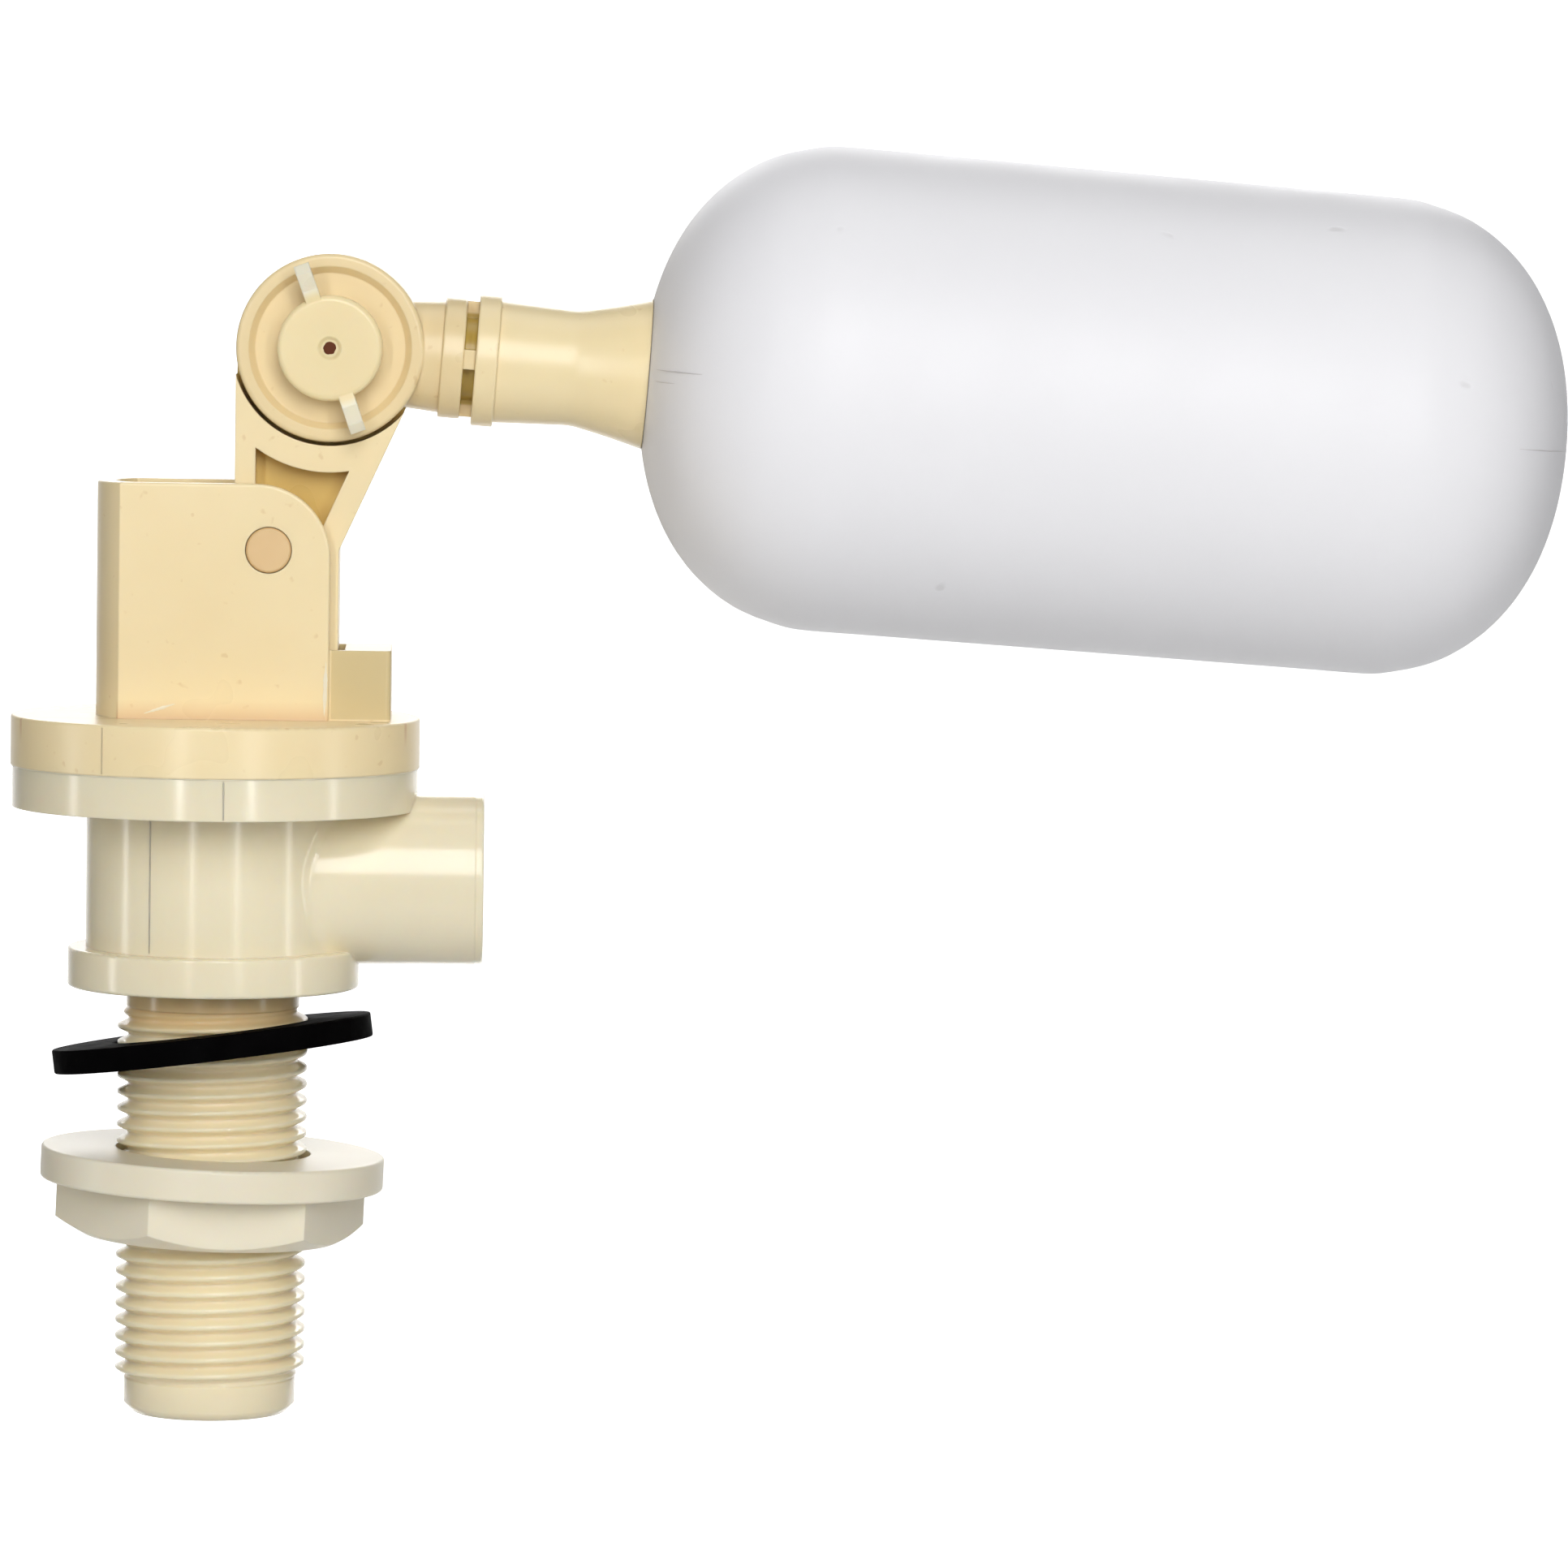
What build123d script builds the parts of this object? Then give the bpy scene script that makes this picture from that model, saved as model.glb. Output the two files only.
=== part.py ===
"""Float valve with a bottom inlet, a side outlet, a pilot-operated diaphragm and a ball-arm lever.

The origin is on the stem axis, at the underside of the body's lower flange. +Z is up, +X points
towards the outlet and the float, and -Y is the front. All sizes are in millimetres.
"""

import os
from math import acos
from math import atan2
from math import cos
from math import degrees
from math import hypot
from math import radians
from math import sin
from math import sqrt
from math import tan

from build123d import *

os.makedirs("parts", exist_ok=True)

# ---- driving dimensions ----

# threaded stem, G1/2 parallel pipe thread
thread_r = 20.955 / 2
thread_pitch = 25.4 / 14
thread_depth = 0.6403 * thread_pitch
crest_flat = 0.30
stem_length = 47.3
pilot_length = 3.8
pilot_r = 9.45
stem_relief = 2.3
inlet_r = 6.8

# body shell
lower_flange_r = 16.05
lower_flange_h = 4.3
barrel_r = 14.1
barrel_wall = 2.0
chamber_floor = 3.5
body_flange_r = 22.3
body_flange_z = 19.8
seam_z = 24.4
seat_z = 22.6
seat_r = 8.3
rim_seat_r = 20.7
flex_r = 18.2
flex_floor_z = 21.6

# side outlet
outlet_z = 12.15
outlet_r = 9.5
outlet_bore_r = 7.75
outlet_end_x = 29.7
tube_root_x = 22.6
tube_draft = 0.6
tube_root_fillet = 2.0
tube_lip = 0.9
tube_step = 0.08
edge_round = 0.3

# cover, lever tower and nozzle shield
cover_r = 22.5
cover_top = 29.9
cover_skin = 2.3
tower_r = 13.2
tower_half = 8.1
tower_right = 12.5
tower_top = 55.7
tower_wall = 2.0
tower_inner_half = 6.45
tower_corner = 8.0
box_right = 19.3
box_half = 7.2
box_top = 37.6
box_wall = 1.5
box_side = 1.0
stop_rib_x = -1.78
stop_rib_half = 1.5
stop_rib_top = 36.5
nozzle_z = 34.3
nozzle_tip_x = 14.2
pillar_left = 14.9
pillar_half = 2.7
feed_x = 17.3
feed_r = 0.7
metering_r = 0.35
metering_depth = 1.2

# lever and its pin
pivot_x = 5.8
pivot_z = 48.5
pin_r = 2.475
pin_fit = 0.075
lever_half = 6.0
lever_right = 13.45
lever_foot = 32.0
head_x = 12.25
head_z = 70.6
head_r = 10.27
lap_gap = 0.05
shoulder_r = head_r + 0.43
left_rib = 2.25
right_rib = 2.7
pocket_arc_r = 13.6
pocket_floor = 50.6
hub_wall_r = 5.0
pocket_depth = 3.2
pad_r = 1.95
pad_thick = 1.3

# clamp bolt and wing nut
bolt_r = 2.5
bolt_fit = 0.10
bolt_head_flats = 8.0
bolt_head_h = 3.2
wing_boss_r = 5.75
wing_boss_front = 8.9
wing_reach = 9.6
wing_thick = 1.7
wing_front = 10.8
wing_angle = 109.6

# elbow, arm and float, measured along the arm from the elbow's centre
droop = 4.0
neck_r = 6.15
neck_root_r = 5.95
neck_end = 12.2
collar_r = 6.65
collar_end = 14.6
ring_start = 15.9
ring_end = 18.3
ring_r = 7.25
finger_half = 11.0
spigot_r = 5.6
spigot_end = 22.5
arm_r = 6.75
arm_bore_r = 5.7
waist_at = 26.8
cone_end = 34.84
cone_lip = 0.22
cone_r = 8.3
waist_r = 6.4
cone_wall = 1.2
float_start = 34.2
float_length = 102.4
float_near_r = 26.75
float_far_r = 26.4
float_wall = 1.3
float_end_depth = 22.0
float_end_power = 2.25
float_neck_r = 5.65
float_neck_bore = 3.6
float_neck_start = 24.0

# clamping set on the stem
gasket_r = 17.7
gasket_hole_r = 10.95
gasket_thick = 2.65
gasket_z = -6.4
gasket_roll = 7.4
gasket_pitch = 3.5
nut_flange_r = 18.95
nut_flange_h = 3.6
nut_top = -18.3
nut_height = 9.5
nut_flats = 29.7
nut_bore_r = 10.78
nut_tilt = 2.2
nut_turn = 8.6

# ---- worked-out places ----

thread_root_r = thread_r - thread_depth
thread_count = int((stem_length - pilot_length - stem_relief) / thread_pitch)
nozzle_bore_end = box_right - 1.2
pin_length = 2 * tower_half
nut_centre = nut_top - nut_height / 2
arm_dir = (cos(radians(droop)), 0, -sin(radians(droop)))


def arm_plane(distance):
    """Plane across the arm, at a distance along it from the elbow's centre, facing the float."""
    origin = (head_x + distance * arm_dir[0], 0, head_z + distance * arm_dir[2])
    return Plane(origin=origin, x_dir=(0, 1, 0), z_dir=arm_dir)


arm_axis = Axis((head_x, 0, head_z), arm_dir)
arm_profile = Plane(origin=(head_x, 0, head_z), x_dir=arm_dir, z_dir=(0, -1, 0))
front = Plane.XZ


def save(piece, name):
    """Label a finished piece and write it as its own STEP file."""
    piece.part.label = name
    export_step(piece.part, f"parts/{name}.step")


# ---- valve body: stem, flanges, barrel, seat tube and side outlet in one moulding ----

with BuildPart() as valve_body:
    with BuildSketch(Plane.XZ):
        with BuildLine():
            Polyline(
                (0, -stem_length),
                (pilot_r - 1.0, -stem_length),
                (pilot_r, -stem_length + 1.0),
                (pilot_r, -stem_length + pilot_length),
                (thread_root_r, -stem_length + pilot_length),
                (thread_r, -stem_length + pilot_length + thread_depth),
                (thread_r, -stem_relief),
                (thread_root_r + 0.2, -stem_relief),
                (thread_root_r + 0.2, 0),
                (lower_flange_r, 0),
                (lower_flange_r, lower_flange_h),
                (barrel_r, lower_flange_h),
                (barrel_r, body_flange_z),
                (body_flange_r, body_flange_z),
                (body_flange_r, seam_z),
                (0, seam_z),
                close=True,
            )
        make_face()
    revolve(axis=Axis.Z)
    with BuildSketch(Plane.YZ):
        with Locations((0, outlet_z)):
            Circle(outlet_r + tube_root_x * tan(radians(tube_draft)))
    extrude(amount=tube_root_x, taper=tube_draft)
    with BuildSketch(Plane.YZ.offset(tube_root_x)):
        with Locations((0, outlet_z)):
            Circle(outlet_r)
    extrude(amount=outlet_end_x - tube_root_x)
    tube_roots = (
        valve_body.edges()
        .filter_by(GeomType.BSPLINE)
        .filter_by(lambda e: abs(hypot((e @ 0.5).X, (e @ 0.5).Y) - barrel_r) < 0.05)
    )
    fillet(tube_roots, tube_root_fillet)
    with BuildSketch(Plane.YZ.offset(outlet_end_x - tube_lip)):
        with Locations((0, outlet_z)):
            Circle(outlet_r)
            Circle(outlet_r - tube_step, mode=Mode.SUBTRACT)
    extrude(amount=tube_lip, mode=Mode.SUBTRACT)
    outlet_rim = valve_body.edges().filter_by(GeomType.CIRCLE).group_by(Axis.X)[-1]
    fillet(outlet_rim, edge_round)
    flange_rims = (
        valve_body.edges()
        .filter_by(GeomType.CIRCLE)
        .filter_by(lambda e: abs(e.radius - lower_flange_r) < 0.01)
    )
    fillet(flange_rims, edge_round)
    # water chamber round the seat tube, and the stepped seat for the diaphragm
    with BuildSketch(Plane.XZ):
        with BuildLine():
            Polyline(
                (seat_r, chamber_floor),
                (barrel_r - barrel_wall, chamber_floor),
                (barrel_r - barrel_wall, flex_floor_z),
                (flex_r, flex_floor_z),
                (flex_r, seat_z),
                (rim_seat_r, seat_z),
                (rim_seat_r, seam_z),
                (0, seam_z),
                (0, seat_z),
                (seat_r, seat_z),
                close=True,
            )
        make_face()
    revolve(axis=Axis.Z, mode=Mode.SUBTRACT)
    with BuildSketch(Plane.XY.offset(-stem_length)):
        Circle(inlet_r)
    extrude(amount=stem_length + seat_z, mode=Mode.SUBTRACT)
    with BuildSketch(Plane.YZ.offset(seat_r + 1.0)):
        with Locations((0, outlet_z)):
            Circle(outlet_bore_r)
    extrude(amount=outlet_end_x, mode=Mode.SUBTRACT)
    # thread grooves: equal rings at the thread's pitch
    with BuildSketch(Plane.XZ):
        for turn in range(thread_count):
            crest = -stem_relief - crest_flat - turn * thread_pitch
            with BuildLine():
                Polyline(
                    (thread_r + 0.01, crest),
                    (thread_root_r, crest - (thread_pitch - crest_flat) / 2),
                    (thread_r + 0.01, crest - thread_pitch + crest_flat),
                    close=True,
                )
            make_face()
    revolve(axis=Axis.Z, mode=Mode.SUBTRACT)
save(valve_body, "valve_body")


# ---- cover: clamping disc, lever tower and nozzle shield ----

with BuildPart() as valve_cover:
    with BuildSketch(Plane.XY.offset(cover_top - 0.5)):
        with BuildLine():
            half_x = sqrt(tower_r**2 - tower_half**2)
            ThreePointArc((-half_x, tower_half), (-tower_r, 0), (-half_x, -tower_half))
            Polyline(
                (-half_x, -tower_half),
                (tower_right, -tower_half),
                (tower_right, tower_half),
                (-half_x, tower_half),
            )
        make_face()
    extrude(amount=tower_top - cover_top + 0.5)
    corner = valve_cover.edges().filter_by(Axis.Y).group_by(Axis.Z)[-1].sort_by(Axis.X)[-1]
    fillet(corner, tower_corner)
    crown = valve_cover.edges().filter_by_position(Axis.Z, tower_top - 0.01, tower_top + 0.01)
    fillet(crown, edge_round)
    with BuildSketch(Plane.XY.offset(seam_z)):
        Circle(cover_r)
    extrude(amount=cover_top - seam_z)
    cover_rim = (
        valve_cover.edges()
        .filter_by(GeomType.CIRCLE)
        .filter_by(lambda e: abs(e.radius - cover_r) < 0.01)
        .group_by(Axis.Z)[-1]
    )
    fillet(cover_rim, edge_round)
    with BuildSketch(Plane.XY.offset(cover_top - 0.5)):
        with Locations((box_right / 2, 0)):
            Rectangle(box_right, 2 * box_half)
    extrude(amount=box_top - cover_top + 0.5)
    box_corners = (
        valve_cover.edges()
        .filter_by(Axis.Z)
        .filter_by_position(Axis.X, box_right - 0.1, box_right + 0.1)
    )
    fillet(box_corners, 2 * edge_round)
    # room for the lever between the cheeks
    with BuildSketch(Plane.XY.offset(cover_top)):
        with BuildLine():
            inner_r = tower_r - tower_wall
            inner_x = sqrt(inner_r**2 - tower_inner_half**2)
            ThreePointArc((-inner_x, tower_inner_half), (-inner_r, 0), (-inner_x, -tower_inner_half))
            Polyline(
                (-inner_x, -tower_inner_half),
                (tower_right, -tower_inner_half),
                (tower_right, tower_inner_half),
                (-inner_x, tower_inner_half),
            )
        make_face()
    extrude(amount=tower_top, mode=Mode.SUBTRACT)
    # hollow of the nozzle shield
    shield_x = box_right - box_wall
    with BuildSketch(Plane.XY.offset(cover_top)):
        with Locations(((tower_right - 1 + shield_x) / 2, 0)):
            Rectangle(shield_x - tower_right + 1, 2 * (box_half - box_side))
    extrude(amount=box_top - box_wall - cover_top, mode=Mode.SUBTRACT)
    with BuildSketch(Plane.XY.offset(cover_top)):
        with Locations(((tower_right - 1 + nozzle_tip_x) / 2, 0)):
            Rectangle(nozzle_tip_x - tower_right + 1, 2 * (box_half - box_side))
    extrude(amount=box_top, mode=Mode.SUBTRACT)
    # stop rib that the lever's heel meets when the float is right down
    with BuildSketch(Plane.XY.offset(cover_top - 0.5)):
        with Locations(((stop_rib_x - inner_r - 0.6) / 2, 0)):
            Rectangle(stop_rib_x + inner_r + 0.6, 2 * stop_rib_half)
    extrude(amount=stop_rib_top - cover_top + 0.5)
    # pillar that carries the pilot nozzle
    with BuildSketch(Plane.XY.offset(cover_top - 0.5)):
        with Locations(((pillar_left + shield_x + 0.5) / 2, 0)):
            Rectangle(shield_x + 0.5 - pillar_left, 2 * pillar_half)
    extrude(amount=box_top - box_wall + 0.2 - cover_top + 0.5)
    # control chamber, pilot feed, nozzle socket, pin holes and metering-pin socket
    with BuildSketch(Plane.XY.offset(seam_z)):
        Circle(flex_r)
    extrude(amount=cover_top - cover_skin - seam_z, mode=Mode.SUBTRACT)
    with BuildSketch(Plane.XY.offset(cover_top - cover_skin - 0.1)):
        with Locations((feed_x, 0)):
            Circle(feed_r)
    extrude(amount=nozzle_z - cover_top + cover_skin + 0.1, mode=Mode.SUBTRACT)
    with BuildSketch(Plane.YZ.offset(pillar_left)):
        with Locations((0, nozzle_z)):
            Circle(1.6)
    extrude(amount=nozzle_bore_end - pillar_left, mode=Mode.SUBTRACT)
    with BuildSketch(front):
        with Locations((pivot_x, pivot_z)):
            Circle(pin_r + pin_fit)
    extrude(amount=tower_half + 1, both=True, mode=Mode.SUBTRACT)
    with BuildSketch(Plane.XY.offset(cover_top - cover_skin)):
        Circle(metering_r + 0.02)
    extrude(amount=metering_depth, mode=Mode.SUBTRACT)
save(valve_cover, "valve_cover")


# ---- pilot nozzle and its seal ----

with BuildPart() as pilot_nozzle:
    with BuildSketch(Plane.YZ.offset(pillar_left)):
        with Locations((0, nozzle_z)):
            Circle(1.57)
    extrude(amount=1.7)
    with BuildSketch(Plane.YZ.offset(nozzle_tip_x + 0.3)):
        with Locations((0, nozzle_z)):
            Circle(1.75)
    extrude(amount=pillar_left - nozzle_tip_x - 0.3)
    with BuildSketch(Plane.YZ.offset(nozzle_tip_x)):
        with Locations((0, nozzle_z)):
            Circle(0.9)
    extrude(amount=0.3)
    with BuildSketch(Plane.YZ.offset(pillar_left + 0.5)):
        with Locations((0, nozzle_z)):
            Circle(1.6)
            Circle(1.08, mode=Mode.SUBTRACT)
    extrude(amount=0.7, mode=Mode.SUBTRACT)
    with BuildSketch(Plane.YZ.offset(nozzle_tip_x)):
        with Locations((0, nozzle_z)):
            Circle(0.45)
    extrude(amount=3.0, mode=Mode.SUBTRACT)
save(pilot_nozzle, "pilot_nozzle")

with BuildPart() as nozzle_o_ring:
    with BuildSketch(Plane.XZ):
        with Locations((pillar_left + 0.85, nozzle_z + 1.33)):
            Circle(0.24)
    revolve(axis=Axis((0, 0, nozzle_z), (1, 0, 0)))
save(nozzle_o_ring, "nozzle_o_ring")


# ---- diaphragm, its valve disc and guide, and the metering pin ----

hub_r = 2.5
disc_r = 9.3
disc_top = 25.8
rubber_top = 24.2
guide_flange_r = 6.2
guide_bottom = 15.0
bleed_r = 0.6

with BuildPart() as diaphragm:
    with BuildSketch(Plane.XZ):
        with BuildLine():
            Polyline(
                (hub_r, seat_z),
                (disc_r, seat_z),
                (disc_r + 0.8, seat_z + 0.6),
                (flex_r - 0.8, seat_z + 0.6),
                (flex_r, seat_z),
                (rim_seat_r - 0.05, seat_z),
                (rim_seat_r - 0.05, seam_z),
                (flex_r, seam_z),
                (flex_r - 0.4, rubber_top),
                (hub_r, rubber_top),
                close=True,
            )
        make_face()
    revolve(axis=Axis.Z)
save(diaphragm, "diaphragm")

with BuildPart() as valve_disc:
    with BuildSketch(Plane.XY.offset(rubber_top)):
        Circle(disc_r)
    extrude(amount=disc_top - rubber_top)
    rim = valve_disc.edges().filter_by(GeomType.CIRCLE).group_by(Axis.Z)[-1]
    fillet(rim, 0.5)
    with BuildSketch(Plane.XY.offset(guide_bottom + 1)):
        Circle(hub_r)
    extrude(amount=rubber_top - guide_bottom - 1)
    with BuildSketch(Plane.XY.offset(guide_bottom)):
        Circle(bleed_r)
    extrude(amount=disc_top - guide_bottom, mode=Mode.SUBTRACT)
save(valve_disc, "valve_disc")

with BuildPart() as disc_guide:
    with BuildSketch(Plane.XY.offset(seat_z - 1.2)):
        Circle(guide_flange_r)
    extrude(amount=1.2)
    with BuildSketch(Plane.XY.offset(guide_bottom)):
        Circle(hub_r + 1.2)
        with PolarLocations(hub_r + 2.3, 4):
            Rectangle(2 * (guide_flange_r - hub_r - 2.3), 1.0)
    extrude(amount=seat_z - 1.2 - guide_bottom)
    with BuildSketch(Plane.XY.offset(guide_bottom)):
        Circle(hub_r + 0.02)
    extrude(amount=seat_z - guide_bottom, mode=Mode.SUBTRACT)
save(disc_guide, "disc_guide")

with BuildPart() as metering_pin:
    with BuildSketch(Plane.XY.offset(guide_bottom - 0.5)):
        Circle(metering_r)
    extrude(amount=cover_top - cover_skin + metering_depth - 0.2 - guide_bottom + 0.5)
save(metering_pin, "metering_pin")


# ---- inlet strainer: a slotted basket pushed into the stem ----

strainer_r = inlet_r - 0.05
strainer_h = 16.0
strainer_slots = 8

with BuildPart() as inlet_strainer:
    with BuildSketch(Plane.XY.offset(-stem_length + 0.2)):
        Circle(strainer_r)
        Circle(strainer_r - 1.0, mode=Mode.SUBTRACT)
    extrude(amount=2.0)
    with BuildSketch(Plane.XY.offset(-stem_length + 2.0)):
        Circle(strainer_r - 0.6)
        Circle(strainer_r - 1.6, mode=Mode.SUBTRACT)
    extrude(amount=strainer_h)
    with BuildSketch(Plane.XY.offset(-stem_length + 1.0 + strainer_h)):
        Circle(strainer_r - 0.6)
    extrude(amount=1.0)
    for level in range(3):
        with BuildSketch(Plane.XY.offset(-stem_length + 4.0 + 4.2 * level)):
            with PolarLocations(strainer_r - 1.1, strainer_slots):
                Rectangle(3.0, 1.6)
        extrude(amount=3.0, mode=Mode.SUBTRACT)
save(inlet_strainer, "inlet_strainer")


# ---- lever ----

reach = sqrt((lever_right - head_x) ** 2 + (head_z - pivot_z) ** 2)
below = degrees(atan2(pivot_z - head_z, lever_right - head_x))
tangent_angle = below + degrees(acos(head_r / reach))


def on_head(radius, angle):
    """Point at a radius and angle round the head's centre, in the front view."""
    return (head_x + radius * cos(radians(angle)), head_z + radius * sin(radians(angle)))


edge_dir = (sin(radians(tangent_angle)), -cos(radians(tangent_angle)))
pocket_left = head_x - head_r + left_rib
pocket_top_left = (pocket_left, head_z - sqrt(pocket_arc_r**2 - (head_x - pocket_left) ** 2))
rib_line = head_r - right_rib
along = sqrt(pocket_arc_r**2 - rib_line**2)
rib_start = on_head(rib_line, tangent_angle)
pocket_top_right = (rib_start[0] + along * edge_dir[0], rib_start[1] + along * edge_dir[1])
drop = (pocket_top_right[1] - pocket_floor) / -edge_dir[1]
pocket_low_right = (pocket_top_right[0] + drop * edge_dir[0], pocket_floor)

with BuildPart() as lever:
    with BuildSketch(front):
        with BuildLine():
            Line((head_x - head_r, head_z), (head_x - head_r, lever_foot))
            Polyline((head_x - head_r, lever_foot), (lever_right, lever_foot), (lever_right, pivot_z))
            Line((lever_right, pivot_z), on_head(head_r, tangent_angle))
            ThreePointArc(
                on_head(head_r, tangent_angle),
                on_head(head_r, 80),
                (head_x - head_r, head_z),
            )
        make_face()
    extrude(amount=lever_half, both=True)
    for side in (-1, 1):
        with BuildSketch(front.offset(side * lever_half)):
            with BuildLine():
                Polyline(
                    pocket_top_left,
                    (pocket_left, pocket_floor),
                    pocket_low_right,
                    pocket_top_right,
                )
                ThreePointArc(pocket_top_right, on_head(pocket_arc_r, -102), pocket_top_left)
            make_face()
            with Locations((pivot_x, pivot_z)):
                Circle(hub_wall_r, mode=Mode.SUBTRACT)
        extrude(amount=-side * pocket_depth, mode=Mode.SUBTRACT)
    with BuildSketch(front.offset(-lap_gap)):
        with Locations((head_x, head_z)):
            Circle(shoulder_r)
    extrude(amount=lever_half + 1, mode=Mode.SUBTRACT)
    with BuildSketch(Plane.YZ.offset(nozzle_tip_x - pad_thick)):
        with Locations((0, nozzle_z)):
            Circle(pad_r + 0.03)
    extrude(amount=2, mode=Mode.SUBTRACT)
    heel = lever.edges().filter_by(Axis.Y).group_by(Axis.Z)[0]
    fillet(heel, 1.0)
    with BuildSketch(front):
        with Locations((pivot_x, pivot_z)):
            Circle(pin_r + 0.01)
        with Locations((head_x, head_z)):
            Circle(bolt_r + bolt_fit)
    extrude(amount=lever_half + 1, both=True, mode=Mode.SUBTRACT)
    with BuildSketch(front.offset(-lever_half)):
        with Locations((head_x, head_z)):
            RegularPolygon(bolt_head_flats / 2 + 0.05, 6, major_radius=False)
    extrude(amount=bolt_head_h, mode=Mode.SUBTRACT)
save(lever, "lever")

with BuildPart() as pivot_pin:
    with BuildSketch(front):
        with Locations((pivot_x, pivot_z)):
            Circle(pin_r)
    extrude(amount=pin_length / 2, both=True)
    pin_ends = pivot_pin.edges().filter_by(GeomType.CIRCLE)
    chamfer(pin_ends, 0.2)
save(pivot_pin, "pivot_pin")

with BuildPart() as pilot_pad:
    with BuildSketch(Plane.YZ.offset(nozzle_tip_x - pad_thick)):
        with Locations((0, nozzle_z)):
            Circle(pad_r)
    extrude(amount=pad_thick - 0.02)
save(pilot_pad, "pilot_pad")


# ---- clamp bolt and wing nut ----

recess_front = lever_half + 0.15 - 1.0
bolt_tip = wing_boss_front - 1.6

with BuildPart() as clamp_bolt:
    with BuildSketch(front.offset(-lever_half + bolt_head_h)):
        with Locations((head_x, head_z)):
            Circle(bolt_r)
    extrude(amount=bolt_tip + lever_half - bolt_head_h)
    with BuildSketch(front.offset(-lever_half + 0.1)):
        with Locations((head_x, head_z)):
            RegularPolygon(bolt_head_flats / 2, 6, major_radius=False)
    extrude(amount=bolt_head_h - 0.1)
save(clamp_bolt, "clamp_bolt")

with BuildPart() as wing_nut:
    with BuildSketch(front.offset(recess_front)):
        with Locations((head_x, head_z)):
            Circle(wing_boss_r)
    extrude(amount=wing_boss_front - recess_front)
    boss_edge = wing_nut.edges().filter_by(GeomType.CIRCLE).group_by(Axis.Y)[0]
    fillet(boss_edge, 0.6)
    wing_plane = Plane(
        origin=(head_x, 0, head_z),
        x_dir=(cos(radians(wing_angle)), 0, sin(radians(wing_angle))),
        z_dir=(sin(radians(wing_angle)), 0, -cos(radians(wing_angle))),
    )
    wing_root = wing_boss_r - 1.6
    wing_back = lever_half + 0.55
    with BuildSketch(wing_plane):
        for side in (-1, 1):
            with BuildLine():
                Polyline(
                    (side * wing_root, wing_back),
                    (side * (wing_boss_r + 0.8), wing_back),
                    (side * wing_reach, wing_back + 2.6),
                    (side * wing_reach, wing_front - 1.0),
                    (side * (wing_reach - 1.0), wing_front),
                    (side * (wing_boss_r + 0.9), wing_front - 1.6),
                    (side * wing_root, wing_boss_front - 0.3),
                    close=True,
                )
            make_face()
    extrude(amount=wing_thick / 2, both=True)
    with BuildSketch(front.offset(wing_boss_front)):
        with Locations((head_x, head_z)):
            Circle(1.3)
    extrude(amount=-0.35, taper=45, mode=Mode.SUBTRACT)
    with BuildSketch(front.offset(wing_boss_front)):
        with Locations((head_x, head_z)):
            Circle(0.4)
    extrude(amount=-1.6, mode=Mode.SUBTRACT)
    with BuildSketch(front.offset(recess_front)):
        with Locations((head_x, head_z)):
            Circle(bolt_r + bolt_fit)
    extrude(amount=bolt_tip + 0.2 - recess_front, mode=Mode.SUBTRACT)
save(wing_nut, "wing_nut")


# ---- elbow: clamped disc, neck, collar, snap fingers and spigot ----

with BuildPart() as elbow:
    with BuildSketch(arm_profile):
        with BuildLine():
            Polyline(
                (3.0, 0),
                (3.0, neck_root_r - 0.4),
                (neck_end, neck_r),
                (neck_end, collar_r),
                (collar_end, collar_r),
                (collar_end, spigot_r),
                (spigot_end, spigot_r),
                (spigot_end, 0),
                close=True,
            )
        make_face()
    revolve(axis=arm_axis)
    with BuildSketch(front.offset(-8)):
        with Locations((head_x, head_z)):
            Circle(shoulder_r)
    extrude(amount=8 + lap_gap, mode=Mode.SUBTRACT)
    with BuildSketch(front.offset(lap_gap)):
        with Locations((head_x, head_z)):
            Circle(head_r)
    extrude(amount=lever_half + 0.15 - lap_gap)
    with BuildSketch(front.offset(lever_half + 0.15)):
        with Locations((head_x, head_z)):
            Circle(8.9)
    extrude(amount=recess_front - lever_half - 0.15, taper=35, mode=Mode.SUBTRACT)
    disc_rim = (
        elbow.edges()
        .filter_by(GeomType.CIRCLE)
        .filter_by(lambda e: abs(e.radius - head_r) < 0.01)
        .group_by(Axis.Y)[0]
    )
    fillet(disc_rim, 0.5)
    with BuildSketch(front):
        with Locations((head_x, head_z)):
            Circle(bolt_r + bolt_fit)
    extrude(amount=lever_half + 2, mode=Mode.SUBTRACT)
    # hollow spigot
    with BuildSketch(arm_plane(collar_end)):
        Circle(spigot_r - 1.6)
    extrude(amount=spigot_end - collar_end, mode=Mode.SUBTRACT)
    # deep windows round the spigot, bridged by four snap fingers
    with BuildSketch(arm_plane(collar_end)):
        Circle(collar_r)
        Circle(spigot_r - 1.0, mode=Mode.SUBTRACT)
    extrude(amount=ring_start - collar_end, mode=Mode.SUBTRACT)
    with BuildSketch(arm_plane(collar_end)):
        with PolarLocations((spigot_r - 1.6 + collar_r - 0.3) / 2, 4):
            Rectangle(
                collar_r - 0.3 - spigot_r + 1.6,
                2 * spigot_r * sin(radians(finger_half)),
            )
    extrude(amount=ring_start - collar_end)
    collar_edges = (
        elbow.edges()
        .filter_by(GeomType.CIRCLE)
        .filter_by(lambda e: abs(e.radius - collar_r) < 0.01)
    )
    fillet(collar_edges, 0.2)
save(elbow, "elbow")


# ---- arm tube with its ring and flared end ----

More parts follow.
